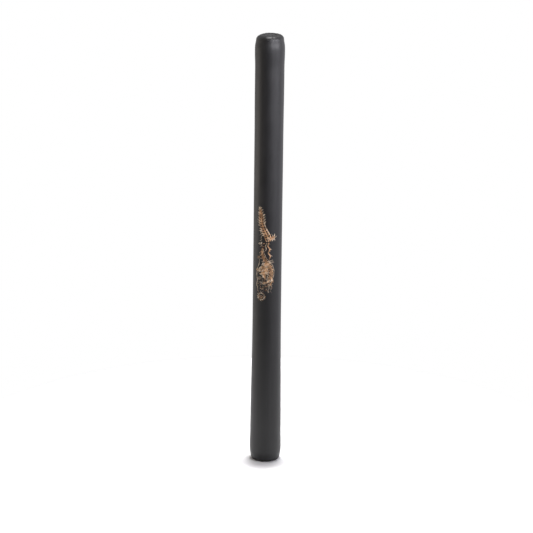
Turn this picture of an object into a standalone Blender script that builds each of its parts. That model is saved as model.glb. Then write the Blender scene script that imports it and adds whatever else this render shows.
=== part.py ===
"""A padded round training stick: a foam sleeve over a rigid tube, closed at both ends, with a printed dragon.

Run it with blender --background --python part.py, or from Blender's text editor.
Units are metres. The stick stands on its lower end, with its axis on +Z and the print facing -Y.
"""

import math

import bmesh
import bpy

MM = 0.001

# Driving dimensions.
STICK_LENGTH = 660 * MM
WAIST_RADIUS = 21.5 * MM  # the sleeve at its thinnest, where it lies close on the tube
TUBE_RADIUS = 10.65 * MM
TUBE_WALL = 2.0 * MM
GAP = 0.3 * MM  # between pieces that touch on the real stick

# The sleeve swells towards each end: a long flare, then a short bulge over the end pad.
LOWER_FLARE = 1.9 * MM
LOWER_FLARE_FROM = 40 * MM  # height where the flare is full
LOWER_FLARE_TO = 235 * MM  # height where it has died away
UPPER_FLARE = 0.25 * MM
UPPER_FLARE_FROM = 60 * MM  # depth below the top end
UPPER_FLARE_TO = 170 * MM
LOWER_BULGE = 0.45 * MM
UPPER_BULGE = 0.65 * MM
BULGE_DEPTH = 23 * MM  # the bulge's middle, in from the end
BULGE_SPREAD = 9 * MM

# Each end is drawn in over the pad: a taper, then a rounded corner, then a flat ring round the mouth.
LOWER_TAPER_DEPTH = 14.5 * MM
UPPER_TAPER_DEPTH = 17.5 * MM
TAPER_DROP = 1.9 * MM
LOWER_CORNER = 4.5 * MM
UPPER_CORNER = 7.0 * MM
MOUTH_RADIUS = 9.0 * MM
MOUTH_DEPTH = 3.5 * MM

# The foam pad that fills each mouth, and the plastic plug behind it that caps the tube.
PAD_RADIUS = 12.3 * MM
PAD_RECESS = 0.4 * MM
PAD_SHOULDER = 9.5 * MM  # depth where the pad reaches its full radius
PAD_LENGTH = 24.0 * MM
PAD_ROUND = 0.6 * MM
PLUG_FLANGE_RADIUS = 12.0 * MM
PLUG_FLANGE = 3.0 * MM
PLUG_CROWN = 0.8 * MM  # how far the flange's face is domed
PLUG_SPIGOT_LENGTH = 24.0 * MM
PLUG_WALL = 1.8 * MM
PLUG_RIBS = 3
RIB_HEIGHT = 0.5 * MM
RIB_LENGTH = 2.4 * MM
RIB_PITCH = 6.0 * MM
RIB_START = 3.0 * MM  # from the flange to the first rib
EDGE_BREAK = 0.3 * MM  # the chamfer on the tube's cut ends

# The print, drawn on the sleeve unrolled: across runs round it from its front line, to the viewer's right.
PRINT_THICKNESS = 0.3 * MM
PRINT_MARGIN = 2.0 * MM  # how far the film is turned beyond its outline before it is cut
DRAGON_STATIONS = (  # across, height, half width, all in millimetres
    (-10.8, 404.0, 0.8),
    (-10.2, 395.0, 3.8),
    (-8.6, 384.0, 6.2),
    (-5.8, 372.5, 6.6),
    (0.2, 361.0, 8.8),
    (3.0, 352.0, 9.4),
    (0.6, 342.0, 6.8),
    (-2.6, 332.0, 7.0),
    (-2.4, 322.0, 8.2),
    (-2.6, 310.0, 10.8),
    (-3.0, 297.0, 12.4),
    (-3.2, 284.0, 12.0),
    (-2.6, 275.6, 8.4),
)
PEARL_ACROSS = -8.2 * MM
PEARL_HEIGHT = 264.0 * MM
PEARL_RADIUS = 7.2 * MM

# How finely round shapes are faceted, and how many stations their profiles have.
SLEEVE_FACETS = 60
CORE_FACETS = 32
PRINT_FACETS = 120
BODY_STATIONS = 26
CORNER_STATIONS = 5
FILM_STATIONS = 5
PEARL_POINTS = 20
OUTLINE_SAMPLES = 2  # points on the dragon's outline for each of its stations
MERGE_DISTANCE = 0.01 * MM  # points closer than this become one
CUTTER_MERGE_DISTANCE = 0.001 * MM


def clear_scene():
    for obj in list(bpy.data.objects):
        bpy.data.objects.remove(obj)


def new_collection(name):
    made = bpy.data.collections.new(name)
    bpy.context.scene.collection.children.link(made)
    return made


def material(name, color, roughness, metallic=0.0):
    made = bpy.data.materials.new(name)
    made.use_nodes = True
    shader = made.node_tree.nodes["Principled BSDF"]
    shader.inputs["Base Color"].default_value = (*color, 1.0)
    shader.inputs["Roughness"].default_value = roughness
    shader.inputs["Metallic"].default_value = metallic
    return made


def smooth_step(value, start, end):
    """0 at start and 1 at end, easing in and out between them."""
    share = min(1.0, max(0.0, (value - start) / (end - start)))
    return share * share * (3.0 - 2.0 * share)


def bulge(depth, height):
    return height * math.exp(-(((depth - BULGE_DEPTH) / BULGE_SPREAD) ** 2))


def sleeve_radius(z):
    """The sleeve's outer radius at height z, above the corner of one end and below the other's."""
    depth = STICK_LENGTH - z
    swell = LOWER_FLARE * smooth_step(z, LOWER_FLARE_TO, LOWER_FLARE_FROM)
    swell += UPPER_FLARE * smooth_step(depth, UPPER_FLARE_TO, UPPER_FLARE_FROM)
    swell += bulge(z, LOWER_BULGE) + bulge(depth, UPPER_BULGE)
    drawn_in = max(0.0, 1.0 - z / LOWER_TAPER_DEPTH, 1.0 - depth / UPPER_TAPER_DEPTH)
    return WAIST_RADIUS + swell - TAPER_DROP * drawn_in


def corner(radius, rounding):
    """(radius, depth) along a rounded corner, from the flat ring of an end to the sleeve's side."""
    steps = [k / CORNER_STATIONS * math.pi / 2 for k in range(CORNER_STATIONS + 1)]
    centre = radius - rounding
    return [(centre + rounding * math.sin(a), rounding * (1.0 - math.cos(a))) for a in steps]


def body_heights():
    """Heights down the sleeve's side, close together at the bulges and the tapers and wide apart between."""
    low, high = LOWER_CORNER, STICK_LENGTH - UPPER_CORNER
    spread = [math.sin(math.pi * (k / BODY_STATIONS - 0.5)) for k in range(1, BODY_STATIONS)]
    return [(low + high) / 2 + (high - low) / 2 * s for s in reversed(spread)]


def sleeve_bore(depth_to_plug):
    """(radius, depth) up the inside of one end, from its mouth to where the sleeve lies on the tube."""
    past_plug = depth_to_plug + PLUG_FLANGE + 2 * GAP
    return [
        (MOUTH_RADIUS, 0.0),
        (MOUTH_RADIUS, MOUTH_DEPTH),
        (PAD_RADIUS + GAP, PAD_SHOULDER),
        (PAD_RADIUS + GAP, past_plug),
        (TUBE_RADIUS + GAP, past_plug + GAP),
    ]


def turned(name, profile, facets, collection, paint, closed=True):
    """An object turned about Z from a profile of (radius, height) points.

    A ring's profile is closed. The profile of a solid that meets the axis starts and ends on it, and isn't closed.
    """
    mesh = bpy.data.meshes.new(name)
    count = len(profile)
    edges = [(k, (k + 1) % count) for k in range(count if closed else count - 1)]
    mesh.from_pydata([(r, 0.0, z) for r, z in profile], edges, [])
    obj = bpy.data.objects.new(name, mesh)
    collection.objects.link(obj)
    screw = obj.modifiers.new("turn", "SCREW")
    screw.axis = "Z"
    screw.angle = math.tau
    screw.steps = facets
    screw.render_steps = facets
    screw.use_merge_vertices = True
    screw.merge_threshold = MERGE_DISTANCE
    screw.use_smooth_shade = False
    mesh.materials.append(paint)
    return obj


def foam_sleeve(collection, paint):
    top_corner = corner(sleeve_radius(STICK_LENGTH - UPPER_CORNER), UPPER_CORNER)
    low_corner = corner(sleeve_radius(LOWER_CORNER), LOWER_CORNER)
    profile = [(r, STICK_LENGTH - depth) for r, depth in top_corner]
    profile += [(sleeve_radius(z), z) for z in body_heights()]
    profile += [(r, depth) for r, depth in reversed(low_corner)]
    bore = sleeve_bore(PAD_LENGTH + GAP)
    profile += bore
    profile += [(r, STICK_LENGTH - depth) for r, depth in reversed(bore)]
    return turned("foam_sleeve", profile, SLEEVE_FACETS, collection, paint)


def core_tube(collection, paint):
    low = PAD_LENGTH + PLUG_FLANGE + 2 * GAP
    high = STICK_LENGTH - low
    inner = TUBE_RADIUS - TUBE_WALL
    profile = [(TUBE_RADIUS, high), (TUBE_RADIUS, low), (inner, low), (inner, high)]
    tube = turned("core_tube", profile, CORE_FACETS, collection, paint)
    edge = tube.modifiers.new("broken_edges", "BEVEL")
    edge.width = EDGE_BREAK
    edge.segments = 1
    return tube


def pad_profile():
    """The end pad, face down: a neck that fills the mouth and a wider body behind it."""
    neck = MOUTH_RADIUS - GAP
    return [
        (0.0, PAD_LENGTH),
        (PAD_RADIUS, PAD_LENGTH),
        (PAD_RADIUS, PAD_SHOULDER + GAP),
        (neck, MOUTH_DEPTH + GAP),
        (neck, PAD_RECESS + PAD_ROUND),
        (neck - PAD_ROUND, PAD_RECESS),
        (0.0, PAD_RECESS),
    ]


def plug_profile():
    """The core plug, flange down: a crowned flange and a ribbed spigot, hollow from its open upper end."""
    face = PAD_LENGTH + GAP
    back = face + PLUG_FLANGE
    spigot = TUBE_RADIUS - TUBE_WALL - GAP
    root = spigot - RIB_HEIGHT
    inner = root - PLUG_WALL
    top = back + PLUG_SPIGOT_LENGTH
    profile = [(0.0, back + PLUG_WALL), (inner, back + PLUG_WALL), (inner, top), (root, top)]
    for rib in reversed(range(PLUG_RIBS)):
        start = back + RIB_START + rib * RIB_PITCH
        profile += [
            (root, start + RIB_LENGTH),
            (spigot, start + RIB_LENGTH - RIB_HEIGHT),
            (spigot, start + RIB_HEIGHT),
            (root, start),
        ]
    profile += [(root, back), (PLUG_FLANGE_RADIUS, back), (PLUG_FLANGE_RADIUS, face + PLUG_CROWN)]
    profile += [(PLUG_FLANGE_RADIUS / 2, face + PLUG_CROWN / 4), (0.0, face)]
    return profile


def both_ends(name, profile, collection, paint):
    """The lower piece, and the same piece turned over for the top end."""
    lower = turned(name + "_bottom", profile, CORE_FACETS, collection, paint, closed=False)
    upper = lower.copy()
    upper.name = name + "_top"
    upper.location.z = STICK_LENGTH
    upper.rotation_euler.x = math.pi
    collection.objects.link(upper)
    return lower, upper


def on_front(across, height):
    """Where a point of the unrolled print lies, seen from the front: (x, z)."""
    return WAIST_RADIUS * math.sin(across / WAIST_RADIUS), height


def between(p, q, r, s, t):
    """The Catmull-Rom value a share t of the way from q to r, where p comes before q and s after r."""
    squared = 2 * p - 5 * q + 4 * r - s
    cubed = 3 * q - p - 3 * r + s
    return 0.5 * (2 * q + (r - p) * t + squared * t**2 + cubed * t**3)


def smooth_curve(points, samples):
    """A smooth curve through the points, with that many samples for each stretch between two of them."""
    padded = [points[0], *points, points[-1]]
    made = []
    for four in zip(padded, padded[1:], padded[2:], padded[3:]):
        for k in range(samples):
            made.append(tuple(between(*column, k / samples) for column in zip(*four)))
    return [*made, points[-1]]


def dragon_outline():
    """The dragon's outer shape: out along the right of its stations and back along the left."""
    stations = smooth_curve(DRAGON_STATIONS, OUTLINE_SAMPLES)
    right = [on_front((across + half) * MM, height * MM) for across, height, half in stations]
    left = [on_front((across - half) * MM, height * MM) for across, height, half in reversed(stations)]
    return right + left


def pearl_outline():
    turns = [k / PEARL_POINTS * math.tau for k in range(PEARL_POINTS)]
    return [
        on_front(PEARL_ACROSS + PEARL_RADIUS * math.cos(a), PEARL_HEIGHT + PEARL_RADIUS * math.sin(a))
        for a in turns
    ]


def outline_cutter(name, outline, cutters):
    """A prism along Y with this outline in the XZ plane, reaching only through the front of the sleeve."""
    depth = WAIST_RADIUS
    curve = bpy.data.curves.new(name, "CURVE")
    curve.dimensions = "2D"
    curve.fill_mode = "BOTH"
    curve.extrude = depth / 2
    spline = curve.splines.new("POLY")
    spline.points.add(len(outline) - 1)
    spline.use_cyclic_u = True
    for point, (x, z) in zip(spline.points, outline):
        point.co = (x, z, 0.0, 1.0)
    drawn = bpy.data.objects.new(name + "_drawn", curve)
    cutters.objects.link(drawn)
    drawn.location.y = -WAIST_RADIUS - GAP
    drawn.rotation_euler.x = math.pi / 2
    bpy.context.view_layer.update()
    graph = bpy.context.evaluated_depsgraph_get()
    mesh = bpy.data.meshes.new_from_object(drawn.evaluated_get(graph))
    cutter = bpy.data.objects.new(name, mesh)
    cutter.matrix_world = drawn.matrix_world.copy()
    cutters.objects.link(cutter)
    bpy.data.objects.remove(drawn)
    solid = bmesh.new()
    solid.from_mesh(mesh)
    bmesh.ops.remove_doubles(solid, verts=solid.verts, dist=CUTTER_MERGE_DISTANCE)
    bmesh.ops.recalc_face_normals(solid, faces=solid.faces)
    solid.to_mesh(mesh)
    solid.free()
    cutter.hide_render = True
    cutter.display_type = "WIRE"
    return cutter


def print_film(name, outline, collection, cutters, paint):
    """A film of ink lying on the sleeve: a thin turned skin, kept only inside the outline."""
    heights = [z for _, z in outline]
    low, high = min(heights) - PRINT_MARGIN, max(heights) + PRINT_MARGIN
    levels = [low + (high - low) * k / FILM_STATIONS for k in range(FILM_STATIONS + 1)]
    outer = [(sleeve_radius(z) + GAP + PRINT_THICKNESS, z) for z in reversed(levels)]
    inner = [(sleeve_radius(z) + GAP, z) for z in levels]
    film = turned(name, outer + inner, PRINT_FACETS, collection, paint)
    keep = film.modifiers.new("keep_inside_outline", "BOOLEAN")
    keep.operation = "INTERSECT"
    keep.object = outline_cutter(name + "_outline", outline, cutters)
    return film


def build():
    clear_scene()
    parts = new_collection("padded_training_stick")
    cutters = new_collection("cutters")
    sleeve_foam = material("sleeve_foam", (0.022, 0.022, 0.024), 0.55)
    pad_foam = material("pad_foam", (0.018, 0.018, 0.019), 0.75)
    tube_plastic = material("tube_plastic", (0.62, 0.62, 0.60), 0.35)
    plug_plastic = material("plug_plastic", (0.03, 0.03, 0.03), 0.4)
    copper_ink = material("copper_ink", (0.50, 0.27, 0.14), 0.4, 0.6)
    beige_ink = material("beige_ink", (0.42, 0.38, 0.32), 0.5)
    foam_sleeve(parts, sleeve_foam)
    core_tube(parts, tube_plastic)
    both_ends("core_plug", plug_profile(), parts, plug_plastic)
    both_ends("end_pad", pad_profile(), parts, pad_foam)
    print_film("dragon_print", dragon_outline(), parts, cutters, copper_ink)
    print_film("pearl_print", pearl_outline(), parts, cutters, beige_ink)


build()
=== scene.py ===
"""The looks of a foam-padded training stick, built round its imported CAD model.

Everything is in metres, in the CAD's frame: the stick stands on the floor with its axis on +Z, and its print
faces -Y. The print is drawn in millimetres on the unrolled sleeve: across, to the right of the front line,
and up from the foot.
"""

import math
import random

import bmesh
import bpy
import numpy as np
from mathutils import Matrix, Vector, noise

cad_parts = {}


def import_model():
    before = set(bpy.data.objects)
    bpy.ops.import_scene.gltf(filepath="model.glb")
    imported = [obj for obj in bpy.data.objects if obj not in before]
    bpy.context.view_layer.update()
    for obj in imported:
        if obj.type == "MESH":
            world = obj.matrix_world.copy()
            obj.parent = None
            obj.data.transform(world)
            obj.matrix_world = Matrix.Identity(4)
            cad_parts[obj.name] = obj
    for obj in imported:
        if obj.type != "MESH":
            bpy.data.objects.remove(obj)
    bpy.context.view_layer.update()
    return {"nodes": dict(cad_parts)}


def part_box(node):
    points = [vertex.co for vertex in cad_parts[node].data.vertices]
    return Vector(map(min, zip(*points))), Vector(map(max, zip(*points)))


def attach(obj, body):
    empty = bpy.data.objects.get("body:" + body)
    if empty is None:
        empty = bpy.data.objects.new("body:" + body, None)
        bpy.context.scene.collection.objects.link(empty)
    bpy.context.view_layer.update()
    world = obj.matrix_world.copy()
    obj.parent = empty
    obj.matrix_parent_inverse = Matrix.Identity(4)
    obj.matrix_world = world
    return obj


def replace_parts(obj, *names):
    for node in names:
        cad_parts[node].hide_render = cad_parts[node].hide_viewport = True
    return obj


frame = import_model()

MM = 0.001
TINY = 1e-9  # stands in for zero where something is divided by a length
GAP = 0.3 * MM  # what the CAD leaves between pieces that touch

# The stick's own sizes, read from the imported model.
FOOT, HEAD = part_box("foam_sleeve")
LENGTH = HEAD.z - FOOT.z
PAD_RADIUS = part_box("end_pad_bottom")[1].x
PAD_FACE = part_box("end_pad_bottom")[0].z
PAD_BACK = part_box("end_pad_bottom")[1].z
OUTSIDE_FROM = PAD_RADIUS + 2 * GAP  # what the sleeve has farther from the axis than this is its outside
SAME_RING = 0.1 * MM  # corners of the CAD sleeve whose heights differ by less are on one ring

# The camera, and how the stick lies in its view.
CAMERA_ELEVATION = 15.5  # degrees above the stick's middle
CAMERA_DISTANCE = 5.9 * LENGTH
CAMERA_LENS = 174.85
CAMERA_REACH = 20.0
CAMERA_LEAN = 0.69  # degrees that the camera is turned about its line of sight
AIM_DROP = 23.5 * MM  # how far below the stick's middle it looks
AIM_ASIDE = -1.3 * MM

# How finely the sleeve and the end pads are meshed.
SLEEVE_SEGMENTS = 224
END_STRETCH = 26 * MM  # near each end the rings lie closer together
END_RING = 0.75 * MM
MIDDLE_RING = 4.0 * MM
LIP_STEPS = 5
FLAT_SHARES = np.linspace(0.12, 0.88, 6)  # where the rings lie across each flat end
PAD_SEGMENTS = 120
PAD_RINGS = 14
PAD_EDGE_STEPS = 6
SHARP_ANGLE = 50.0  # faces that turn by more degrees than this meet in a sharp edge

# The sleeve's unevenness, and the puckers where the foam was drawn in at its ends.
WAVE_HEIGHT = 0.09 * MM
WAVE_LENGTH = 45 * MM
PUCKERS = 17
PUCKER_DEPTH = 0.36 * MM
PUCKER_WIDTH = 0.075  # radians
PUCKER_REACH = 17 * MM
PUCKER_FADE = 4 * MM  # a pucker gets deeper over this width, out from the mouth
PUCKER_AT_MOUTH = 0.35  # how far along that it is at the mouth itself
FOOT_SEED, HEAD_SEED = 3, 8
LIP_ROUND = 0.8 * MM

# The top end was cut a little out of square, so that its left side is lower.
CUT_DROP = 1.2 * MM
CUT_FROM = 4.0 * MM  # how far left of the axis it starts to drop
CUT_SPREAD = 15.0 * MM  # and how much farther left it has dropped in full
CUT_FADE = 14.0 * MM  # depth below the top where the side is true again

# The end pads' faces, crowned and cut a little unevenly with a blade.
PAD_EDGE = 0.7 * MM
PAD_CROWN = 0.22 * MM
PAD_UNEVEN = 0.09 * MM
PAD_LUMPS = 420.0  # lumps to the metre

# How much light glances off the sleeve's skin, off its cut ends and off the pads.
SKIN_SHINE = 0.46
CUT_SHINE = 0.15
PAD_SHINE = 0.22
CUT_FACE = 0.0014  # the share of the length at each end that counts as cut

# The film of ink: how deep it is rooted in the foam, and how high it stands out.
INK_ROOT = 0.05 * MM
COPPER_LIFT = 0.07 * MM
BEIGE_LIFT = 0.12 * MM
SHADE_LIFT = 0.15 * MM
LAYER_STEP = 0.003 * MM  # so that crossing strokes of one ink never share a surface
LAYERS = 7
EDGE_DROP = 0.4  # the share of its height that a stroke loses at its edges

# The inks' tones, from dark to light.
COPPER_TONES = ((0.105, 0.053, 0.024), (0.320, 0.168, 0.075), (0.60, 0.375, 0.208))
BEIGE_TONES = ((0.14, 0.108, 0.070), (0.370, 0.290, 0.203), (0.71, 0.575, 0.43))
SHADE_TONES = ((0.012, 0.010, 0.010), (0.018, 0.016, 0.015), (0.03, 0.026, 0.024))

# How the strokes are drawn, in millimetres.
DRAWING_ASIDE = -1.2  # from the front line to the drawing's own zero
DRAWING_RISE = 3.0  # and from the foot
THINNEST = 0.05  # half width
COLUMN_PITCH = 0.9  # between the columns of corners along a broad stroke
CURL_STEPS = 12  # stations to a turn
CURL_CLOSES = 0.86  # the share of its radius that a spiral loses
CURL_THINS = 0.55  # and of its width


# ---------------------------------------------------------------- curves and the sleeve's surface


def curve_through(points, spacing):
    """Points at about that spacing on a smooth curve through the given ones: rows that start with a place."""
    points = np.array(points, float)
    steps = np.hypot(*np.diff(points[:, :2], axis=0).T)
    param = np.concatenate([[0.0], np.cumsum(steps)])
    count = max(2, int(math.ceil(param[-1] / spacing)) + 1)
    wanted = np.linspace(0.0, param[-1], count)
    slope = np.gradient(points, param, axis=0)
    k = np.clip(np.searchsorted(param, wanted) - 1, 0, len(param) - 2)
    width = param[k + 1] - param[k]
    t = ((wanted - param[k]) / width)[:, None]
    width = width[:, None]
    start, end = points[k], points[k + 1]
    blend = t * t * (3 - 2 * t)
    bow = t * (1 - t) * width * (slope[k] * (1 - t) - slope[k + 1] * t)
    return start + (end - start) * blend + bow


def cad_rings(outer):
    """(radius, height) of the CAD sleeve's rings, from the foot up: its outside's or its bore's."""
    found = {}
    for vertex in frame["nodes"]["foam_sleeve"].data.vertices:
        radius = math.hypot(vertex.co.x, vertex.co.y)
        if (radius > OUTSIDE_FROM) == outer:
            found[round(vertex.co.z / SAME_RING)] = (radius, vertex.co.z)
    return [found[key] for key in sorted(found)]


OUTSIDE = np.array(cad_rings(outer=True))
BORE = np.array(cad_rings(outer=False))
MOUTH = BORE[0, 0]
NECK_TOP = BORE[1, 1]  # where the bore starts to widen from the mouth's wall
SHOULDER = BORE[2, 1]  # where it is at its full width
SIDE = curve_through(OUTSIDE, END_RING)
WAIST = SIDE[:, 0][(SIDE[:, 1] > 0.3 * LENGTH) & (SIDE[:, 1] < 0.7 * LENGTH)].min()


def smooth_step(value):
    """0 below 0 and 1 above 1, with a soft rise between."""
    value = np.clip(value, 0.0, 1.0)
    return value * value * (3 - 2 * value)


def waves(angle, height):
    """How far the skin stands out of a true round at an angle round from the front and a height."""
    turn = WAIST / WAVE_LENGTH
    out = [
        noise.noise(Vector((math.sin(a) * turn, math.cos(a) * turn, z / WAVE_LENGTH)))
        for a, z in zip(angle.ravel(), height.ravel())
    ]
    return WAVE_HEIGHT * np.array(out).reshape(angle.shape)


def on_skin(angle, height, lift):
    """Points that lie lift above the sleeve's side, at an angle round from the front and a height."""
    radius = np.interp(height, SIDE[:, 1], SIDE[:, 0]) + waves(angle, height) + lift
    return np.stack([radius * np.sin(angle), -radius * np.cos(angle), height], axis=-1)


def new_piece(name, corners, faces, paint):
    """A closed mesh that rides on the stick, with its faces turned outward."""
    mesh = bpy.data.meshes.new(name)
    mesh.from_pydata(corners, [], faces)
    solid = bmesh.new()
    solid.from_mesh(mesh)
    bmesh.ops.recalc_face_normals(solid, faces=solid.faces)
    solid.to_mesh(mesh)
    solid.free()
    mesh.shade_smooth()
    mesh.set_sharp_from_angle(angle=math.radians(SHARP_ANGLE))
    mesh.materials.append(paint)
    piece = bpy.data.objects.new(name, mesh)
    bpy.context.scene.collection.objects.link(piece)
    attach(piece, "root")
    return piece


# ---------------------------------------------------------------- materials


class Tree:
    """A node tree, written as calls."""

    def __init__(self, tree):
        self.tree = tree

    def node(self, kind, inputs=(), **settings):
        """A new node. Each of its inputs is given a value, or a link from another node."""
        made = self.tree.nodes.new(kind)
        for key, value in settings.items():
            setattr(made, key, value)
        for key, value in dict(inputs).items():
            self.give(made.inputs[key], value)
        return made

    def give(self, socket, value):
        if isinstance(value, bpy.types.NodeSocket):
            self.tree.links.new(value, socket)
        else:
            socket.default_value = value


class Shader(Tree):
    """A material's node tree."""

    def __init__(self, name):
        self.material = bpy.data.materials.new(name)
        self.material.use_nodes = True
        super().__init__(self.material.node_tree)
        self.surface = self.tree.nodes["Principled BSDF"]
        self.place = self.node("ShaderNodeTexCoord").outputs["Object"]

    def stretched(self, x, y, z):
        """The place, scaled by these amounts along each axis."""
        return self.node("ShaderNodeMapping", {"Vector": self.place, "Scale": (x, y, z)}).outputs["Vector"]

    def noise(self, scale, detail=2.0, roughness=0.5, place=None):
        inputs = {"Vector": place or self.place, "Scale": scale, "Detail": detail, "Roughness": roughness}
        return self.node("ShaderNodeTexNoise", inputs).outputs["Fac"]

    def cells(self, scale):
        inputs = {"Vector": self.place, "Scale": scale}
        return self.node("ShaderNodeTexVoronoi", inputs).outputs["Distance"]

    def ramp(self, value, *stops):
        """A colour for each value: stops are (value, colour or grey level)."""
        made = self.node("ShaderNodeValToRGB", {"Fac": value})
        elements = made.color_ramp.elements
        while len(elements) < len(stops):
            elements.new(0.5)
        for element, (where, shade) in zip(elements, stops):
            element.position = where
            tone = shade if isinstance(shade, tuple) else (shade, shade, shade)
            element.color = (*tone, 1.0)
        return made.outputs["Color"]

    def mix(self, share, first, second):
        """Between two colours, by that share of the second."""
        made = self.node("ShaderNodeMix", {0: share, 6: first, 7: second}, data_type="RGBA")
        return made.outputs[2]

    def combine(self, first, second, operation):
        return self.node("ShaderNodeMath", {0: first, 1: second}, operation=operation).outputs[0]

    def bump(self, height, distance, strength, under=None):
        """The surface raised by that height, over what another bump has raised already."""
        inputs = {"Height": height, "Distance": distance, "Strength": strength}
        if under:
            inputs["Normal"] = under
        return self.node("ShaderNodeBump", inputs).outputs["Normal"]

    def finish(self, **inputs):
        """The material, with these inputs of its surface. Underscores stand for the spaces in their names."""
        for key, value in inputs.items():
            self.give(self.surface.inputs[key.replace("_", " ")], value)
        return self.material


def sleeve_foam():
    """Black closed-skin foam: an even satin skin with a fine grain, faint mottling and a little dust."""
    paint = Shader("sleeve_foam")
    mottle = paint.noise(38.0, detail=4.0)
    streaks = paint.noise(260.0, detail=2.0, place=paint.stretched(1.0, 1.0, 0.06))
    base = paint.ramp(mottle, (0.30, (0.0046, 0.0045, 0.0048)), (0.72, (0.0074, 0.0072, 0.0077)))
    rubbed = paint.ramp(streaks, (0.45, 0.0), (0.80, 0.35))
    base = paint.mix(rubbed, base, (0.015, 0.015, 0.016, 1.0))
    dust = paint.ramp(paint.noise(1450.0, detail=1.0), (0.775, 0.0), (0.80, 0.5))
    base = paint.mix(dust, base, (0.09, 0.09, 0.09, 1.0))
    grain = paint.noise(1500.0, detail=3.0, roughness=0.6)
    pits = paint.ramp(paint.cells(2100.0), (0.10, 0.0), (0.45, 1.0))
    bump = paint.bump(grain, 0.06 * MM, 0.4)
    bump = paint.bump(pits, 0.03 * MM, 0.3, bump)
    bump = paint.bump(streaks, 0.08 * MM, 0.2, bump)
    rough = paint.ramp(mottle, (0.25, 0.41), (0.75, 0.49))
    height = paint.node("ShaderNodeSeparateXYZ", {"Vector": paint.place}).outputs["Z"]
    share = paint.combine(height, 1.0 / LENGTH, "MULTIPLY")
    skin = 5 * CUT_FACE
    at_foot = ((CUT_FACE, CUT_SHINE), (skin, SKIN_SHINE))
    at_head = ((1 - skin, SKIN_SHINE), (1 - CUT_FACE, CUT_SHINE))
    shine = paint.ramp(share, *at_foot, *at_head)
    return paint.finish(Base_Color=base, Roughness=rough, Specular_IOR_Level=shine, Normal=bump)


def pad_foam():
    """Black closed-cell foam as it was cut: open cells, and matte, with painted shade in the cells' hollows.
    """
    paint = Shader("pad_foam")
    cells = paint.cells(1500.0)
    # Painted shade: the colour is darkest at each cell's middle, where the bump below sinks into a pit. The
    # cell pattern itself is the foam's own.
    base = paint.ramp(cells, (0.05, (0.006, 0.006, 0.006)), (0.5, (0.018, 0.018, 0.019)))
    bump = paint.bump(paint.ramp(cells, (0.05, 0.0), (0.5, 1.0)), 0.08 * MM, 0.5)
    bump = paint.bump(paint.noise(500.0, detail=3.0), 0.08 * MM, 0.25, bump)
    rough = paint.ramp(paint.noise(900.0), (0.3, 0.68), (0.7, 0.86))
    return paint.finish(Base_Color=base, Roughness=rough, Specular_IOR_Level=PAD_SHINE, Normal=bump)


def tube_plastic():
    """Pale grey drawn plastic, with the fine lengthwise lines of the die."""
    paint = Shader("tube_plastic")
    lines = paint.noise(700.0, detail=2.0, place=paint.stretched(1.0, 1.0, 0.01))
    mottle = paint.noise(25.0, detail=3.0)
    base = paint.ramp(mottle, (0.3, (0.56, 0.56, 0.53)), (0.7, (0.66, 0.66, 0.64)))
    rough = paint.ramp(lines, (0.3, 0.30), (0.7, 0.42))
    return paint.finish(Base_Color=base, Roughness=rough, Normal=paint.bump(lines, 0.05 * MM, 0.4))


def plug_plastic():
    """Black moulded plastic with a fine spark-eroded texture."""
    paint = Shader("plug_plastic")
    grain = paint.noise(1800.0, detail=2.0)
    mottle = paint.noise(90.0, detail=3.0)
    base = paint.ramp(mottle, (0.3, (0.020, 0.020, 0.020)), (0.7, (0.032, 0.032, 0.033)))
    rough = paint.ramp(grain, (0.3, 0.36), (0.7, 0.50))
    return paint.finish(Base_Color=base, Roughness=rough, Normal=paint.bump(grain, 0.04 * MM, 0.5))


def transfer_ink(name, tones, metallic, rough):
    """A transfer ink: patchy in tone, a little worn, and broken where the foam's grain shows through."""
    paint = Shader(name)
    dark, middle, light = tones
    patches = paint.noise(230.0, detail=3.0)
    fine = paint.noise(1700.0)
    most, rest = paint.combine(patches, 0.75, "MULTIPLY"), paint.combine(fine, 0.25, "MULTIPLY")
    base = paint.ramp(paint.combine(most, rest, "ADD"), (0.36, dark), (0.50, middle), (0.62, light))
    worn = paint.ramp(paint.noise(900.0, detail=4.0, roughness=0.65), (0.62, 0.0), (0.70, 0.85))
    base = paint.mix(worn, base, (0.03, 0.026, 0.024, 1.0))
    bump = paint.bump(paint.noise(1500.0, detail=3.0, roughness=0.6), 0.06 * MM, 0.5)
    roughness = paint.ramp(fine, (0.3, rough - 0.06), (0.7, rough + 0.08))
    return paint.finish(Base_Color=base, Metallic=metallic, Roughness=roughness, Normal=bump)


def floor_paper():
    """Plain white backing paper."""
    paint = Shader("floor_paper")
    base = paint.ramp(paint.noise(9.0, detail=4.0), (0.3, (0.95, 0.95, 0.95)), (0.7, (0.97, 0.97, 0.97)))
    bump = paint.bump(paint.noise(700.0, detail=3.0), 0.05 * MM, 0.2)
    rough = paint.ramp(paint.noise(40.0), (0.3, 0.7), (0.7, 0.8))
    return paint.finish(Base_Color=base, Roughness=rough, Normal=bump)


# ---------------------------------------------------------------- the sleeve and its end pads


def turned(ring, angle):
    """The points of a profile of (radius, height), turned about Z to every angle round from the front."""
    across = np.outer(ring[:, 0], np.sin(angle))
    back = -np.outer(ring[:, 0], np.cos(angle))
    height = np.outer(ring[:, 1], np.ones(len(angle)))
    return np.stack([across, back, height], axis=-1)


def bands(rows, segments, closed):
    """The faces between a turned shape's rows of corners. A closed one joins its last row to its first."""
    faces = []
    for i in range(rows if closed else rows - 1):
        below, above = i * segments, (i + 1) % rows * segments
        for j in range(segments):
            k = (j + 1) % segments
            faces.append((below + j, below + k, above + k, above + j))
    return faces


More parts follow.
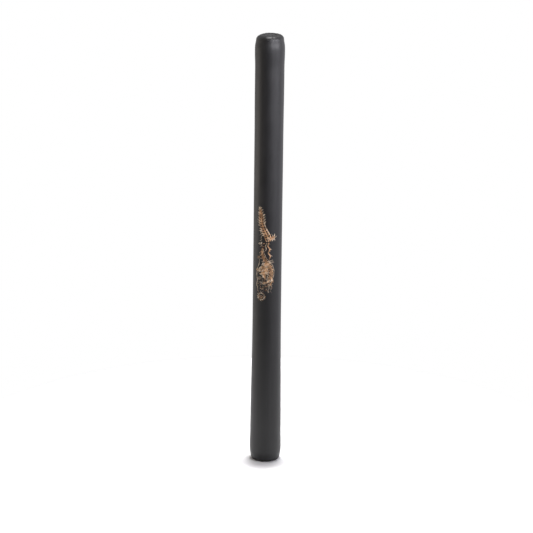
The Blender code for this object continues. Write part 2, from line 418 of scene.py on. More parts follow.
def lathe(profile, segments, shift):
    """Corners and faces of a profile of (radius, height) points turned about Z, and then moved by shift.

    A profile that starts and ends on the axis is capped there, and any other is closed in a ring.
    """
    profile = np.array(profile)
    capped = profile[0, 0] < TINY
    ring = profile[1:-1] if capped else profile
    angle = np.linspace(0.0, math.tau, segments, endpoint=False)
    places = turned(ring, angle) + shift(ring, angle)
    corners = [tuple(p) for p in places.reshape(-1, 3)]
    faces = bands(len(ring), segments, closed=not capped)
    if capped:
        for end, row in ((profile[0], 0), (profile[-1], len(ring) - 1)):
            corners.append((0.0, 0.0, end[1]))
            start = row * segments
            faces += [(len(corners) - 1, start + j, start + (j + 1) % segments) for j in range(segments)]
    return corners, faces


def side_rings():
    """The sleeve's outer side from the foot up: fine near the ends and coarse between them."""
    heights = SIDE[:, 1]
    near_end = (heights < END_STRETCH) | (heights > LENGTH - END_STRETCH)
    stride = round(MIDDLE_RING / END_RING)
    return SIDE[[k for k in range(len(SIDE)) if near_end[k] or k % stride == 0]]


def lip(end, inward):
    """The rounded lip of a mouth, from the flat end at that height to its wall. inward is +1 or -1."""
    return [
        (MOUTH + LIP_ROUND * (1 - math.sin(a)), end + inward * LIP_ROUND * (1 - math.cos(a)))
        for a in np.linspace(0.0, math.pi / 2, LIP_STEPS)
    ]


def flat_end(start, stop, height):
    """The rings across a flat end, from one radius to another."""
    return [(start + (stop - start) * share, height) for share in FLAT_SHARES]


def sleeve_loop():
    """The sleeve's section: up the outside, across the top end, down the bore and back across the foot."""
    side = side_rings()
    lip_radius = MOUTH + LIP_ROUND
    top = flat_end(side[-1, 0], lip_radius, HEAD.z)
    bottom = flat_end(lip_radius, side[0, 0], FOOT.z)
    inner = BORE[1:-1][::-1]
    return np.array([*side, *top, *lip(HEAD.z, -1), *inner, *lip(FOOT.z, 1)[::-1], *bottom])


def puckers(seed):
    """(angle, width, depth, reach) of each fold of the foam round one end."""
    dice = random.Random(seed)
    folds = []
    for k in range(PUCKERS):
        angle = (k + dice.uniform(-0.32, 0.32)) * math.tau / PUCKERS
        width = PUCKER_WIDTH * dice.uniform(0.7, 1.5)
        depth = PUCKER_DEPTH * dice.uniform(0.25, 1.0) ** 1.3
        folds.append((angle, width, depth, PUCKER_REACH * dice.uniform(0.55, 1.0)))
    return folds


def outward_of(loop):
    """The way out of the foam at each point of the section, as (radial, upward)."""
    tangent = np.gradient(loop, axis=0)
    outward = np.stack([tangent[:, 1], -tangent[:, 0]], axis=-1)
    return outward / np.maximum(np.linalg.norm(outward, axis=1), TINY)[:, None]


def drawn_in(loop, angle, shown):
    """How deep the puckers of both ends are at each point of the turned sleeve."""
    fade = (loop[:, 0] - MOUTH) / PUCKER_FADE
    strength = smooth_step(PUCKER_AT_MOUTH + (1 - PUCKER_AT_MOUTH) * fade) * shown
    total = np.zeros((len(loop), len(angle)))
    for seed, depth_in in ((FOOT_SEED, loop[:, 1]), (HEAD_SEED, LENGTH - loop[:, 1])):
        for where, width, depth, reach in puckers(seed):
            round_by = (angle - where + math.pi) % math.tau - math.pi
            across = np.exp(-((round_by / width) ** 2))
            along = (1 - smooth_step(depth_in / reach)) * strength
            total += depth * np.outer(along, across)
    return total


def sleeve_shift(loop, angle):
    """How far each point of the turned sleeve moves, for the waves, the puckers and the crooked top."""
    on_side = loop[:, 0] > OUTSIDE_FROM
    by_end = np.minimum(loop[:, 1], LENGTH - loop[:, 1]) < LIP_ROUND + GAP
    shown = on_side | ((loop[:, 0] > MOUTH - GAP) & by_end)
    wide, tall = np.meshgrid(angle, loop[:, 1])
    wavy = smooth_step(np.minimum(tall, LENGTH - tall) / END_STRETCH) * on_side[:, None]
    out = waves(wide, tall) * wavy - drawn_in(loop, angle, shown)
    left = -np.outer(loop[:, 0], np.sin(angle))
    drop = CUT_DROP * smooth_step((left - CUT_FROM) / CUT_SPREAD) * shown[:, None]
    drop *= smooth_step(1 - (LENGTH - tall) / CUT_FADE)
    outward = outward_of(loop)
    radial = outward[:, 0][:, None] * out
    rise = outward[:, 1][:, None] * out - drop
    return np.stack([radial * np.sin(angle), -radial * np.cos(angle), rise], axis=-1)


def foam_sleeve(paint):
    """The sleeve, in place of the CAD's."""
    corners, faces = lathe(sleeve_loop(), SLEEVE_SEGMENTS, sleeve_shift)
    sleeve = new_piece("foam_sleeve_skin", corners, faces, paint)
    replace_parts(sleeve, "foam_sleeve")


def pad_section():
    """The end pad's section, face down: a crowned face, a round edge, a neck and a wider body behind it."""
    neck = MOUTH - GAP
    radii = np.linspace(0.0, neck - PAD_EDGE, PAD_RINGS)
    face = [(r, PAD_FACE - PAD_CROWN * (1 - (r / neck) ** 2)) for r in radii]
    rim = [
        (neck - PAD_EDGE + PAD_EDGE * math.sin(a), PAD_FACE + PAD_EDGE * (1 - math.cos(a)))
        for a in np.linspace(0.0, math.pi / 2, PAD_EDGE_STEPS)[1:]
    ]
    wall = [(neck, NECK_TOP + GAP), (PAD_RADIUS, SHOULDER + GAP), (PAD_RADIUS, PAD_BACK - PAD_EDGE)]
    back = [(PAD_RADIUS - PAD_EDGE, PAD_BACK), (PAD_RADIUS / 2, PAD_BACK), (0.0, PAD_BACK)]
    return [*face, *rim, *wall, *back]


def pad_shift(section, angle):
    """The unevenness of a face cut with a blade."""
    wide, radius = np.meshgrid(angle, section[:, 0])
    uneven = [
        noise.noise(Vector((r * math.sin(a), r * math.cos(a), 0.0)) * PAD_LUMPS)
        for a, r in zip(wide.ravel(), radius.ravel())
    ]
    on_face = section[:, 1] < PAD_FACE + GAP
    lift = PAD_UNEVEN * np.abs(np.array(uneven).reshape(radius.shape)) * on_face[:, None]
    still = np.zeros_like(lift)
    return np.stack([still, still, lift], axis=-1)


def end_pads(paint):
    """Both end pads, in place of the CAD's. The top one is the bottom one turned over."""
    corners, faces = lathe(pad_section(), PAD_SEGMENTS, pad_shift)
    turned_over = Matrix.Translation((0, 0, LENGTH)) @ Matrix.Rotation(math.pi, 4, "X")
    for name, place in (("bottom", Matrix.Identity(4)), ("top", turned_over)):
        placed = [tuple(place @ Vector(c)) for c in corners]
        pad = new_piece("end_pad_cut_" + name, placed, faces, paint)
        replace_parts(pad, "end_pad_" + name)


# ---------------------------------------------------------------- drawing in ink


class Ink:
    """One ink of the print: raised strokes, drawn on the unrolled sleeve, that are made into one piece."""

    def __init__(self, lift):
        self.lift = lift
        self.strokes = 0
        self.corners = []
        self.faces = []

    def ribbon(self, stations, spacing=0.5):
        """A stroke through stations of (across, up, half width): a slab that is lower along its edges."""
        line = curve_through(stations, spacing)
        half = np.maximum(line[:, 2], THINNEST)
        heading = np.gradient(line[:, :2], axis=0)
        heading /= np.maximum(np.linalg.norm(heading, axis=1), TINY)[:, None]
        columns = max(3, 2 * int(math.ceil(half.max() / COLUMN_PITCH)) + 1)
        side = np.linspace(-1.0, 1.0, columns)
        across = line[:, 0][:, None] - np.outer(heading[:, 1] * half, side)
        up = line[:, 1][:, None] + np.outer(heading[:, 0] * half, side)
        self.strokes += 1
        lift = self.lift * (1 - EDGE_DROP * side**2) + LAYER_STEP * (self.strokes % LAYERS)
        angle = (across + DRAWING_ASIDE) * MM / WAIST
        height = (up + DRAWING_RISE) * MM
        top = on_skin(angle, height, lift)
        under = on_skin(angle, height, -INK_ROOT)
        self.slab(top, under)

    def slab(self, top, under):
        """A closed slab between two sheets of points."""
        rows, columns = top.shape[:2]
        first = len(self.corners)
        self.corners += [tuple(p) for p in np.concatenate([top.reshape(-1, 3), under.reshape(-1, 3)])]
        sheet = rows * columns

        def corner(i, j, layer):
            return first + layer * sheet + i * columns + j

        for i in range(rows - 1):
            for j in range(columns - 1):
                square = [(i, j), (i + 1, j), (i + 1, j + 1), (i, j + 1)]
                self.faces.append(tuple(corner(a, b, 0) for a, b in square))
                self.faces.append(tuple(corner(a, b, 1) for a, b in reversed(square)))
        border = [(i, 0) for i in range(rows)]
        border += [(rows - 1, j) for j in range(1, columns)]
        border += [(i, columns - 1) for i in range(rows - 2, -1, -1)]
        border += [(0, j) for j in range(columns - 2, 0, -1)]
        for (a, b), (c, d) in zip(border, border[1:] + border[:1]):
            self.faces.append((corner(c, d, 0), corner(a, b, 0), corner(a, b, 1), corner(c, d, 1)))

    def piece(self, name, paint, slot=None):
        return new_piece(name, self.corners, self.faces, paint)


def sweep(start, heading, length, turn, width, sway=0.0, blunt=0.35, steps=7):
    """Stations of a stroke that turns and sways as it goes, and ends in a point.

    Its heading is in degrees round from across, and blunt is the share of its width that it starts with.
    """
    x, y = start
    stations = []
    for k in range(steps + 1):
        t = k / steps
        swell = min(1.0, blunt + 3.0 * t) * (1.0 - t) ** 0.8
        stations.append((x, y, width * swell))
        a = math.radians(heading + turn * t + sway * math.sin(math.tau * t))
        x += math.cos(a) * length / steps
        y += math.sin(a) * length / steps
    return stations


def curl(centre, radius, turns, start, width):
    """Stations of a spiral that winds in anticlockwise, or clockwise where turns is negative."""
    count = max(6, int(abs(turns) * CURL_STEPS))
    stations = []
    for k in range(count + 1):
        t = k / count
        a = math.radians(start) + turns * math.tau * t
        r = radius * (1.0 - CURL_CLOSES * t)
        x, y = centre[0] + r * math.cos(a), centre[1] + r * math.sin(a)
        stations.append((x, y, width * (1.0 - CURL_THINS * t)))
    return stations


class Body:
    """A length of the dragon's body: a smooth line with a width. Its back is on the right of the line."""

    def __init__(self, stations):
        self.line = curve_through(stations, 0.4)
        step = np.diff(self.line[:, :2], axis=0)
        self.far = np.concatenate([[0.0], np.cumsum(np.hypot(*step.T))])
        slope = np.gradient(self.line[:, :2], axis=0)
        self.turn = np.unwrap(np.arctan2(slope[:, 1], slope[:, 0]))
        self.length = self.far[-1]

    def at(self, distance, side=0.0):
        """(place, heading in degrees, half width) that far along. side is a share of the half width.

        It is positive towards the belly.
        """
        x, y, half = (np.interp(distance, self.far, self.line[:, k]) for k in range(3))
        a = np.interp(distance, self.far, self.turn)
        place = (x - math.sin(a) * half * side, y + math.cos(a) * half * side)
        return place, math.degrees(a), half


# ---------------------------------------------------------------- the dragon and its pearl, in millimetres


RUNG_PITCH = 3.9  # between the bars across the dragon's body
SCALE_PITCH = 2.3
SCALE_WIDTH = 2.1
FIN_LEAN = 48.0  # degrees towards the tail

# A bar across the body, as (share of the half width, how far it is set back, half width).
RUNG = ((-0.98, 1.4, 0.5), (-0.5, 0.4, 0.75), (0.0, 0.0, 0.95), (0.5, 0.4, 0.75), (0.98, 1.4, 0.5))

# A scale, as (how far forward, share of its half width).
SCALE = ((1.2, 0.30), (0.6, 0.86), (0.0, 1.0), (-0.5, 0.80), (-0.85, 0.25))

# Stations of (across, up, half width), towards the head.
TAIL_BODY = (
    (-11.0, 401.0, 0.3),
    (-10.6, 395.6, 1.4),
    (-9.6, 388.0, 2.7),
    (-8.8, 381.0, 3.4),
    (-7.4, 374.0, 3.7),
    (-5.2, 367.6, 3.9),
    (-2.2, 361.6, 4.1),
    (0.6, 356.0, 4.4),
    (2.2, 350.6, 4.2),
    (2.8, 346.4, 2.4),
)
NECK_BODY = (
    (-6.6, 337.0, 1.0),
    (-7.4, 331.6, 2.6),
    (-6.0, 325.4, 3.3),
    (-3.4, 319.4, 3.7),
    (0.6, 314.0, 4.0),
    (5.0, 308.4, 4.2),
    (7.4, 301.6, 4.2),
    (7.0, 294.6, 4.0),
    (4.6, 288.6, 3.4),
    (1.0, 284.4, 2.2),
)
STREAMER = (
    (3.4, 345.6, 0.7),
    (1.6, 340.6, 0.8),
    (4.6, 335.2, 0.9),
    (2.6, 329.8, 0.8),
    (5.4, 324.8, 0.9),
    (3.8, 319.6, 0.4),
)
TAIL_TIP = (-10.8, 392.0)
PLUME_RISE = 3.0  # from the copper flames of the tail's tip to the beige ones

# The flames of the tail's tip, as (heading, length, turn, half width).
PLUME = ((94, 6.4, 20, 0.9), (114, 6.8, -30, 0.8), (74, 6.4, 36, 0.75), (136, 6.0, -40, 0.6))

HEAD_PLACE = (-6.4, 303.6)
HEAD_HEADING = 204.0  # the way that the snout points, in degrees round from across
HEAD_SCALE = 1.28

# The whiskers' stations, on from the tip of the snout.
FALLING_WHISKER = (
    (-16.4, 293.0, 0.4),
    (-15.0, 286.0, 0.36),
    (-16.2, 279.0, 0.32),
    (-14.2, 273.0, 0.25),
    (-14.6, 269.0, 0.08),
)
BROW_WHISKER = (
    (-14.4, 306.0, 0.5),
    (-12.2, 311.4, 0.45),
    (-11.4, 317.0, 0.35),
    (-13.0, 321.0, 0.2),
    (-14.4, 319.4, 0.06),
)

# The mane and the clouds below the head.
TANGLE_LEFT, TANGLE_RIGHT = -15.0, 10.5
TANGLE_FOOT, TANGLE_HEAD = 270.5, 293.0
TANGLE_STEP = 3.5
COPPER_SHARE = 0.4
CURL_SHARE = 0.45

PEARL = (-8.2, 261.2)
PEARL_RADIUS = 5.1
PEARL_STEPS = 28
PEARL_FLAMES = 12


def edge_line(ink, body, start, end, side, half):
    """A line along the body at that share of its half width."""
    count = max(4, int((end - start) / 3.0))
    stations = []
    for k in range(count + 1):
        place, _, _ = body.at(start + (end - start) * k / count, side)
        stations.append((*place, half))
    ink.ribbon(stations, 0.6)


def rungs(ink, body, start, end):
    """Bowed bars across the body, with the bare foam showing between them."""
    for k in range(int((end - start) / RUNG_PITCH)):
        distance = start + (k + 0.5) * RUNG_PITCH
        bar = [(*body.at(distance - back, side)[0], half) for side, back, half in RUNG]
        ink.ribbon(bar, 0.45)


def fins(ink, body, start, end, side, length, half, seed):
    """Flame-shaped fins along one edge of the body, leaning towards its tail."""
    dice = random.Random(seed)
    out = -1.0 if side < 0 else 1.0
    distance = start
    while distance < end:
        place, heading, wide = body.at(distance, side)
        size = length * min(1.0, 0.5 + wide / 6.0) * dice.uniform(0.8, 1.2)
        ink.ribbon(sweep(place, heading + out * (90.0 + FIN_LEAN), size, out * -30.0, half, steps=5), 0.4)
        distance += RUNG_PITCH * dice.uniform(0.85, 1.15)


def scales(ink, body, start, end):
    """Rows of scales, each rounded towards the tail, set half a scale aside in every other row."""
    for row in range(int((end - start) / SCALE_PITCH)):
        distance = start + row * SCALE_PITCH
        wide = body.at(distance)[2]
        columns = max(2, round(1.7 * wide / SCALE_WIDTH))
        pitch = 1.84 / columns
        for column in range(columns - row % 2):
            side = -0.92 + (column + 0.5 + 0.5 * (row % 2)) * pitch
            (x, y), heading, _ = body.at(distance, side)
            half = 0.43 * pitch * wide
            a = math.radians(heading)
            ahead_x, ahead_y = math.cos(a), math.sin(a)
            ink.ribbon([(x + ahead_x * s, y + ahead_y * s, half * share) for s, share in SCALE], 0.4)


def head_point(x, y, half=None):
    """A point of the head, given forward and above its middle, where it lies on the print."""
    a = math.radians(HEAD_HEADING)
    x, y = x * HEAD_SCALE, y * HEAD_SCALE
    place = (
        HEAD_PLACE[0] + x * math.cos(a) + y * math.sin(a),
        HEAD_PLACE[1] + x * math.sin(a) - y * math.cos(a),
    )
    return place if half is None else (*place, half * HEAD_SCALE)


def head_stroke(ink, *stations, spacing=0.35):
    """A stroke through stations that are given as (forward, upward, half width) on the head."""
    ink.ribbon([head_point(*s) for s in stations], spacing)


def head_flames(ink, root, headings, length, turn, width, seed, sway=0.0):
    """A fan of flame-shaped strokes from near one point of the head. Headings are up from its own forward."""
    dice = random.Random(seed)
    for heading in headings:
        start = head_point(root[0] + dice.uniform(-0.5, 0.5), root[1] + dice.uniform(-0.5, 0.5))
        size = length * dice.uniform(0.78, 1.15)
        stroke = sweep(start, HEAD_HEADING - heading, size, -turn * dice.uniform(0.7, 1.3), width, -sway)
        ink.ribbon(stroke)


def head_form(copper):
    """The head in profile, facing left, with its mouth open: its nape, skull and snout, nose and jaw."""
    nape = [(1.0, 314.0, 2.0), (-1.6, 308.0, 4.2), (-2.4, 301.0, 4.6), (-3.4, 294.6, 3.0), (-2.0, 289.6, 0.8)]
    skull = [(-3.6, 0.6, 2.6), (-1.2, 1.3, 3.0), (1.4, 1.2, 2.4)]
    snout = [(4.0, 0.7, 1.7), (6.2, 0.8, 1.3), (7.4, 0.9, 0.6)]
    nose = [(5.6, 1.9, 0.5), (6.7, 2.3, 0.9), (7.7, 1.7, 0.7), (7.9, 0.9, 0.2)]
    jaw = [(-1.6, -2.2, 1.5), (0.8, -3.5, 1.2), (3.2, -4.1, 0.9), (5.2, -3.8, 0.5), (5.9, -3.1, 0.2)]
    copper.ribbon(nape)
    head_stroke(copper, *skull, *snout)
    head_stroke(copper, *nose)
    head_stroke(copper, *jaw)


def head_lines(beige):
    """The light lines of the head: brow, muzzle, cheek, eye and chin, then the teeth and the horns."""
    head_stroke(beige, (-0.6, 3.4, 0.5), (1.0, 3.3, 0.8), (2.8, 2.6, 0.6), (4.4, 2.0, 0.3))
    head_stroke(beige, (1.8, 0.9, 0.4), (3.6, 0.4, 1.0), (5.6, 0.6, 0.95), (6.9, 1.0, 0.4))
    head_stroke(beige, (-1.6, -1.0, 0.3), (-0.2, -1.6, 0.8), (1.4, -1.9, 0.5), (2.8, -1.6, 0.1))
    head_stroke(beige, (0.4, 1.3, 0.2), (1.1, 1.6, 0.7), (1.9, 1.3, 0.2), spacing=0.25)
    head_stroke(beige, (1.4, -4.3, 0.1), (3.6, -4.9, 0.4), (5.8, -4.3, 0.1))
    for x in (2.8, 4.4, 6.0):
        head_stroke(beige, (x, -0.8, 0.45), (x + 0.1, -1.6, 0.3), (x + 0.3, -2.4, 0.05), spacing=0.3)
    for base, length in (((-1.2, 4.0), 9.0), ((-2.8, 3.2), 8.0)):
        beige.ribbon(sweep(head_point(*base), HEAD_HEADING - 118.0, length, -38.0, 0.85, -8.0))


def head_shading(shade):
    """The dark lines of the head: under the eye, its pupil, the nostril and two folds behind the cheek."""
    head_stroke(shade, (-0.2, 1.0, 0.1), (1.1, 0.6, 0.3), (2.4, 0.9, 0.1), spacing=0.25)
    head_stroke(shade, (1.0, 1.55, 0.1), (1.25, 1.6, 0.3), (1.5, 1.55, 0.1), spacing=0.2)
    head_stroke(shade, (6.4, 1.7, 0.1), (6.9, 1.9, 0.3), (7.2, 1.6, 0.1), spacing=0.2)
    head_stroke(shade, (-3.2, 2.2, 0.1), (-2.2, 0.2, 0.4), (-3.0, -1.6, 0.1))
    head_stroke(shade, (-1.4, 2.4, 0.1), (-0.6, 0.0, 0.35), (-1.6, -2.2, 0.1))


def head_mane(copper, beige):
    """The flames behind the head, round its jaw and below its chin."""
    head_flames(copper, (-3.4, 2.8), (128, 146, 164), 6.8, 26.0, 1.0, 11)
    head_flames(beige, (-4.4, 1.2), (158, 178, 198), 6.4, -30.0, 0.6, 12, 10.0)
    head_flames(copper, (-3.4, -2.4), (196, 216, 236, 254), 6.2, 34.0, 0.8, 13)
    head_flames(beige, (-1.4, -4.0), (216, 236, 256, 274), 6.0, 30.0, 0.55, 14, 10.0)
    head_flames(beige, (2.6, -5.0), (246, 266, 284), 5.0, 24.0, 0.45, 15)


def whiskers(beige):
    """Two long feelers from the snout: one falls towards the pearl, and one sweeps up over the brow."""
    x, y = head_point(7.2, 1.2)
    beige.ribbon([(x, y, 0.4), *FALLING_WHISKER])
    beige.ribbon([(x, y + 0.8, 0.45), *BROW_WHISKER])


def claw_foot(copper, beige, ankle, heading, size, spread, toes, seed):
    """A foot with its talons, from its ankle, heading that way."""
    dice = random.Random(seed)
    a = math.radians(heading)
    palm = (ankle[0] + math.cos(a) * 1.7 * size, ankle[1] + math.sin(a) * 1.7 * size)
    middle = ((ankle[0] + palm[0]) / 2, (ankle[1] + palm[1]) / 2)
    copper.ribbon([(*ankle, 1.0 * size), (*middle, 1.35 * size), (*palm, 0.6 * size)])
    for k in range(toes):
        share = k / (toes - 1.0)
        way = heading + spread * (share - 0.5) * dice.uniform(0.9, 1.1)
        b = math.radians(way)
        root = (palm[0] - math.cos(b) * 0.4 * size, palm[1] - math.sin(b) * 0.4 * size)
        toe = sweep(root, way, 3.0 * size, -24.0 + 48.0 * share, 0.7 * size, blunt=0.8, steps=5)
        copper.ribbon(toe, 0.4)
        bend = -55.0 if share < 0.5 else 55.0
        beige.ribbon(sweep(toe[3][:2], way, 2.9 * size, bend, 0.5 * size, blunt=0.8, steps=5), 0.35)


def leg(copper, beige, stations, heading, size, spread, toes, seed):
    """A leg along stations of (across, up, half width), with flames at its elbow and a foot at its end."""
    copper.ribbon(stations, 0.5)
    elbow = stations[len(stations) // 2]
    for k in range(3):
        beige.ribbon(sweep(elbow[:2], heading + 140.0 + 30.0 * k, 4.2 * size, 30.0, 0.5, steps=5))
    claw_foot(copper, beige, stations[-1][:2], heading, size, spread, toes, seed)


def limbs(copper, beige):
    """One leg that reaches out to the right of the tail, and two below the neck."""
    leg(copper, beige, [(3.0, 350.0, 2.2), (5.4, 351.0, 2.0), (7.4, 353.2, 1.5)], 4.0, 1.55, 220.0, 5, 21)
    leg(copper, beige, [(3.4, 286.6, 1.2), (0.6, 283.4, 1.0), (-3.2, 282.8, 0.8)], 214.0, 0.85, 150.0, 4, 23)
    leg(copper, beige, [(7.4, 290.6, 1.1), (8.6, 285.6, 1.0), (6.4, 281.4, 0.8)], 268.0, 0.85, 150.0, 4, 24)


def tail_flames(copper, beige):
    """The plume at the tip of the tail."""
    x, y = TAIL_TIP
    for heading, length, turn, half in PLUME:
        copper.ribbon(sweep((x, y), heading, length, turn, half))
        beige.ribbon(sweep((x, y + PLUME_RISE), heading, length, turn, half * 0.7, 8.0))


def cloud(ink, centre, size, mirror, start):
    """A curled cloud: one large curl, a small one on its back, and a trailing line."""
    x, y = centre
    back = (x + 3.4 * size * mirror, y + 1.4 * size)
    tail = (x + 1.6 * size * mirror, y - 2.4 * size)
    ink.ribbon(curl(centre, 2.6 * size, -1.3 * mirror, start, 0.42 * size))
    ink.ribbon(curl(back, 1.8 * size, -1.1 * mirror, start - 20.0, 0.38 * size))
    ink.ribbon(sweep(tail, 90.0 - 96.0 * mirror, 5.0 * size, 30.0 * mirror, 0.5 * size, 12.0))


def clouds(copper, beige):
    """Three clouds: right of the neck, left of the gap and left of the neck."""
    cloud(beige, (5.6, 316.4), 0.95, 1.0, -20.0)
    cloud(beige, (-11.0, 343.0), 0.7, 1.0, 200.0)
    cloud(copper, (-12.4, 322.0), 0.6, -1.0, -20.0)


def wisps(copper, beige):
    """The thin lines on either side of the gap between the tail and the neck."""
    for k in range(6):
        lean = k % 2
        x, y = -8.8 + 0.35 * k, 364.0 - 4.4 * k
        beige.ribbon(sweep((x, y), 236.0 + 14.0 * lean, 5.4, 70.0 - 140.0 * lean, 0.5))
    for k in range(4):
        lean = k % 2
        x, y = -2.6 - 0.6 * k, 344.0 - 4.4 * k
        copper.ribbon(sweep((x, y), 170.0 + 40.0 * lean, 4.8, 80.0 - 160.0 * lean, 0.7))
    copper.ribbon(STREAMER)
    for k in range(1, 5):
        x, y, _ = STREAMER[k]
        beige.ribbon(sweep((x, y), 20.0 + 50.0 * (k % 2), 4.4, -90.0, 0.55))
    beige.ribbon([(0.4, 345.0, 0.4), (-1.8, 340.4, 0.5), (-0.8, 335.4, 0.4), (-3.0, 331.6, 0.2)])


def tangle(copper, beige):
    """The mane and the clouds below the head: curls and flames close together, in rather disordered rows."""
    dice = random.Random(51)
    rows = int((TANGLE_HEAD - TANGLE_FOOT) / TANGLE_STEP)
    for row in range(rows + 1):
        y = TANGLE_FOOT + row * TANGLE_STEP
        inset = 3.4 * (1.0 - row / rows) ** 2
        x = TANGLE_LEFT + inset + (row % 2) * TANGLE_STEP / 2
        while x < TANGLE_RIGHT - inset:
            centre = (x + dice.uniform(-0.6, 0.6), y + dice.uniform(-0.6, 0.6))
            ink = copper if dice.random() < COPPER_SHARE else beige
            if dice.random() < CURL_SHARE:
                turns = dice.choice((-1.2, 1.2))
                ink.ribbon(curl(centre, dice.uniform(1.5, 2.1), turns, dice.uniform(0.0, 360.0), 0.22))
            else:
                heading = dice.uniform(200.0, 320.0)
                length = dice.uniform(3.4, 5.0)
                ink.ribbon(sweep(centre, heading, length, dice.choice((-60.0, 60.0)), 0.28))
            x += TANGLE_STEP


def dragon(copper, beige, shade):
    """The whole figure, from the bodies up to what lies over them."""
    tail, neck = Body(TAIL_BODY), Body(NECK_BODY)
    for side in (-0.98, 0.98):
        edge_line(copper, tail, 2.0, tail.length - 1.0, side, 0.45)
    edge_line(copper, tail, 2.0, tail.length - 1.0, 0.0, 1.0)
    rungs(copper, tail, 2.0, tail.length - 0.5)
    fins(beige, tail, 3.0, tail.length - 8.0, -1.0, 5.2, 0.85, 31)
    fins(beige, tail, 3.0, tail.length - 26.0, 1.0, 4.6, 0.8, 33)
    edge_line(beige, tail, 22.0, 46.0, 0.92, 0.5)
    scales(copper, neck, 1.0, neck.length - 0.6)
    edge_line(beige, neck, 2.0, neck.length - 2.0, 1.02, 0.3)
    fins(beige, neck, 8.0, neck.length - 3.0, -1.0, 3.2, 0.6, 32)
    tail_flames(copper, beige)
    tangle(copper, beige)
    limbs(copper, beige)
    wisps(copper, beige)
    clouds(copper, beige)
    head_form(copper)
    head_lines(beige)
    head_shading(shade)
    head_mane(copper, beige)
    whiskers(beige)


def pearl(copper, beige):
    """The flaming pearl: a ring, a spiral in it and flames round it."""
    x, y = PEARL
    ring = []
    for k in range(PEARL_STEPS + 1):
        a = k / PEARL_STEPS * math.tau
        ring.append((x + PEARL_RADIUS * math.cos(a), y + PEARL_RADIUS * math.sin(a), 0.42))
    beige.ribbon(ring, 0.45)
    copper.ribbon(curl(PEARL, 3.3, 1.5, 120.0, 0.6), 0.4)
    beige.ribbon(sweep((x, y + 1.8), 262.0, 3.8, 20.0, 0.6, blunt=0.9))
    dice = random.Random(41)
    outer = PEARL_RADIUS + 0.3
    for k in range(PEARL_FLAMES):
        way = 20.0 + k * 360.0 / PEARL_FLAMES
        a = math.radians(way)
        root = (x + outer * math.cos(a), y + outer * math.sin(a))
        stroke = sweep(root, way + 34.0, dice.uniform(2.2, 3.4), 60.0, 0.5, steps=5)
        ink = copper if k % 2 else beige
        ink.ribbon(stroke, 0.4)


def prints(copper_paint, beige_paint, shade_paint):
    """The dragon and the pearl. One ink of each stands for the CAD's film, and the others go with it."""
    copper, beige, shade = Ink(COPPER_LIFT), Ink(BEIGE_LIFT), Ink(SHADE_LIFT)
    dragon(copper, beige, shade)
    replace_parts(copper.piece("dragon_copper", copper_paint, "copper_ink"), "dragon_print")
    beige.piece("dragon_lines", beige_paint, "beige_ink")
    shade.piece("dragon_shade", shade_paint)
    copper, beige = Ink(COPPER_LIFT), Ink(BEIGE_LIFT)
    pearl(copper, beige)
    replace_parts(beige.piece("pearl_lines", beige_paint, "beige_ink"), "pearl_print")
    copper.piece("pearl_copper", copper_paint, "copper_ink")


# ---------------------------------------------------------------- the studio


FLOOR_RADIUS = 0.5
FLOOR_SEGMENTS = 96
AIM_LIMIT = 0.5  # the softboxes look at the stick at their own height, or at this one where they are higher
WINDOW_STRENGTH = 0.98
WALL_STRENGTH = 0.50
BACKDROP_STRENGTH = 0.50
OPEN = 180.0  # degrees that a bare softbox spreads over
GRID = 53.0  # and one with a grid on it
COOL = (0.94, 0.93, 1.0)
NEUTRAL = (1.0, 0.99, 1.0)
WARM = (1.0, 0.93, 0.86)


def floor():
    """A round sheet of white paper under the stick."""
    mesh = bpy.data.meshes.new("floor")
    disc = bmesh.new()
    bmesh.ops.create_circle(disc, cap_ends=True, segments=FLOOR_SEGMENTS, radius=FLOOR_RADIUS)
    disc.to_mesh(mesh)
    disc.free()
    mesh.materials.append(floor_paper())
    made = bpy.data.objects.new("floor", mesh)
    bpy.context.scene.collection.objects.link(made)
    made.location.z = FOOT.z


def softbox(name, azimuth, distance, height, size, power, color, spread=OPEN):
    """A square area light that looks at the stick. Azimuth 0 is the camera's side, and 90 is its right."""
    light = bpy.data.lights.new(name, "AREA")
    light.shape = "SQUARE"
    light.size = size
    light.energy = power
    light.color = color
    light.spread = math.radians(spread)
    made = bpy.data.objects.new(name, light)
    a = math.radians(azimuth)
    made.location = (math.sin(a) * distance, -math.cos(a) * distance, height)
    target = Vector((0, 0, min(height, AIM_LIMIT)))
    made.rotation_euler = (target - made.location).to_track_quat("-Z", "Y").to_euler()
    made.visible_camera = False
    bpy.context.scene.collection.objects.link(made)


def studio():
    """A small light overhead, a large one high behind, keys on the right and weak fills on the left."""
    softbox("overhead", 174.0, 0.045, 2.2, 0.07, 40.0, NEUTRAL)
    softbox("back_high", 162.0, 0.6, 1.6, 0.8, 5.0, NEUTRAL)
    softbox("key_front", 22.0, 0.8, 0.80, 0.4, 0.76, COOL, GRID)
    softbox("key_side", 60.0, 0.8, 0.75, 0.4, 0.68, COOL, GRID)
    softbox("key_high", 45.0, 0.8, 1.35, 0.4, 0.45, COOL, GRID)
    softbox("fill_high", -95.0, 0.8, 0.4, 0.4, 0.13, WARM, GRID)
    softbox("fill_low", -90.0, 0.8, 0.12, 0.4, 0.25, WARM)


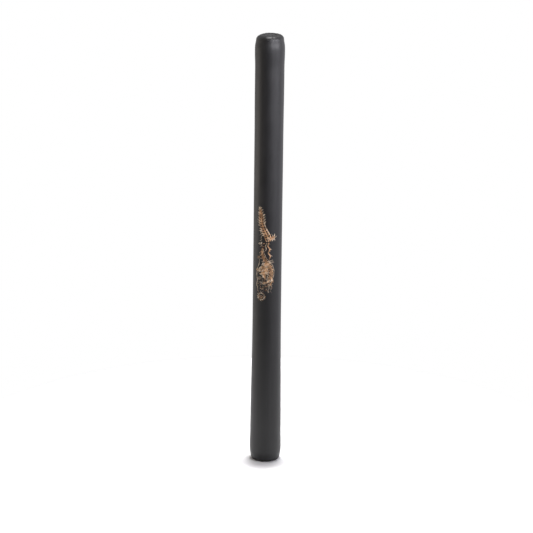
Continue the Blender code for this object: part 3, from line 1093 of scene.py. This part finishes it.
class Room(Tree):
    """The world's node tree."""

    def __init__(self, name):
        self.world = bpy.data.worlds.new(name)
        self.world.use_nodes = True
        super().__init__(self.world.node_tree)
        self.tree.nodes.clear()
        place = self.node("ShaderNodeTexCoord").outputs["Generated"]
        self.toward = self.node("ShaderNodeSeparateXYZ", {"Vector": place}).outputs

    def light(self, strength, color):
        inputs = {"Strength": strength, "Color": (*color, 1.0)}
        return self.node("ShaderNodeBackground", inputs).outputs[0]

    def lobe(self, axis, start, end, strength, color):
        """Light that comes in from where that axis of the direction passes start, and in full from end."""
        inputs = {"Value": self.toward[axis], "From Min": start, "From Max": end, "To Max": strength}
        share = self.node("ShaderNodeMapRange", inputs, interpolation_type="SMOOTHSTEP").outputs["Result"]
        return self.light(share, color)

    def together(self, first, second):
        return self.node("ShaderNodeAddShader", {0: first, 1: second}).outputs[0]


def world():
    """The camera sees white. A window on the right, a wall on the left and a backdrop light the stick."""
    room = Room("studio")
    window = room.lobe("X", 0.2, 0.9, WINDOW_STRENGTH, COOL)
    wall = room.lobe("X", -0.2, -0.9, WALL_STRENGTH, WARM)
    backdrop = room.lobe("Y", 0.0, 0.7, BACKDROP_STRENGTH, NEUTRAL)
    lit = room.together(room.together(window, wall), backdrop)
    white = room.light(1.0, (1.0, 1.0, 1.0))
    seen = room.node("ShaderNodeLightPath").outputs["Is Camera Ray"]
    both = room.node("ShaderNodeMixShader", {0: seen, 1: lit, 2: white}).outputs[0]
    room.node("ShaderNodeOutputWorld", {"Surface": both})
    bpy.context.scene.world = room.world


def camera():
    """The view from the front and a little above."""
    data = bpy.data.cameras.new("camera")
    data.lens = CAMERA_LENS
    data.clip_end = CAMERA_REACH
    made = bpy.data.objects.new("camera", data)
    bpy.context.scene.collection.objects.link(made)
    e = math.radians(CAMERA_ELEVATION)
    middle = Vector((0, 0, LENGTH / 2))
    out = Vector((0, -math.cos(e), math.sin(e)))
    made.location = middle + out * CAMERA_DISTANCE
    rise = Vector((0, math.sin(e), math.cos(e)))
    aim = middle - rise * AIM_DROP + Vector((AIM_ASIDE, 0, 0))
    sight = (aim - made.location).to_track_quat("-Z", "Y").to_matrix()
    lean = Matrix.Rotation(math.radians(CAMERA_LEAN), 3, "Z")
    made.rotation_euler = (sight @ lean).to_euler()
    bpy.context.scene.camera = made
    bpy.context.scene.view_settings.view_transform = "Standard"


def repaint(node, paint):
    """Put a new material on a CAD node that is kept as it is."""
    materials = frame["nodes"][node].data.materials
    materials.clear()
    materials.append(paint)


def build():
    """The studio, and the stick in it with its materials."""
    camera()
    world()
    studio()
    floor()
    foam_sleeve(sleeve_foam())
    end_pads(pad_foam())
    repaint("core_tube", tube_plastic())
    plug = plug_plastic()
    repaint("core_plug_bottom", plug)
    repaint("core_plug_top", plug)
    copper = transfer_ink("copper_ink", COPPER_TONES, metallic=0.2, rough=0.46)
    beige = transfer_ink("beige_ink", BEIGE_TONES, metallic=0.1, rough=0.48)
    shade = transfer_ink("shade_ink", SHADE_TONES, metallic=0.0, rough=0.5)
    prints(copper, beige, shade)


build()
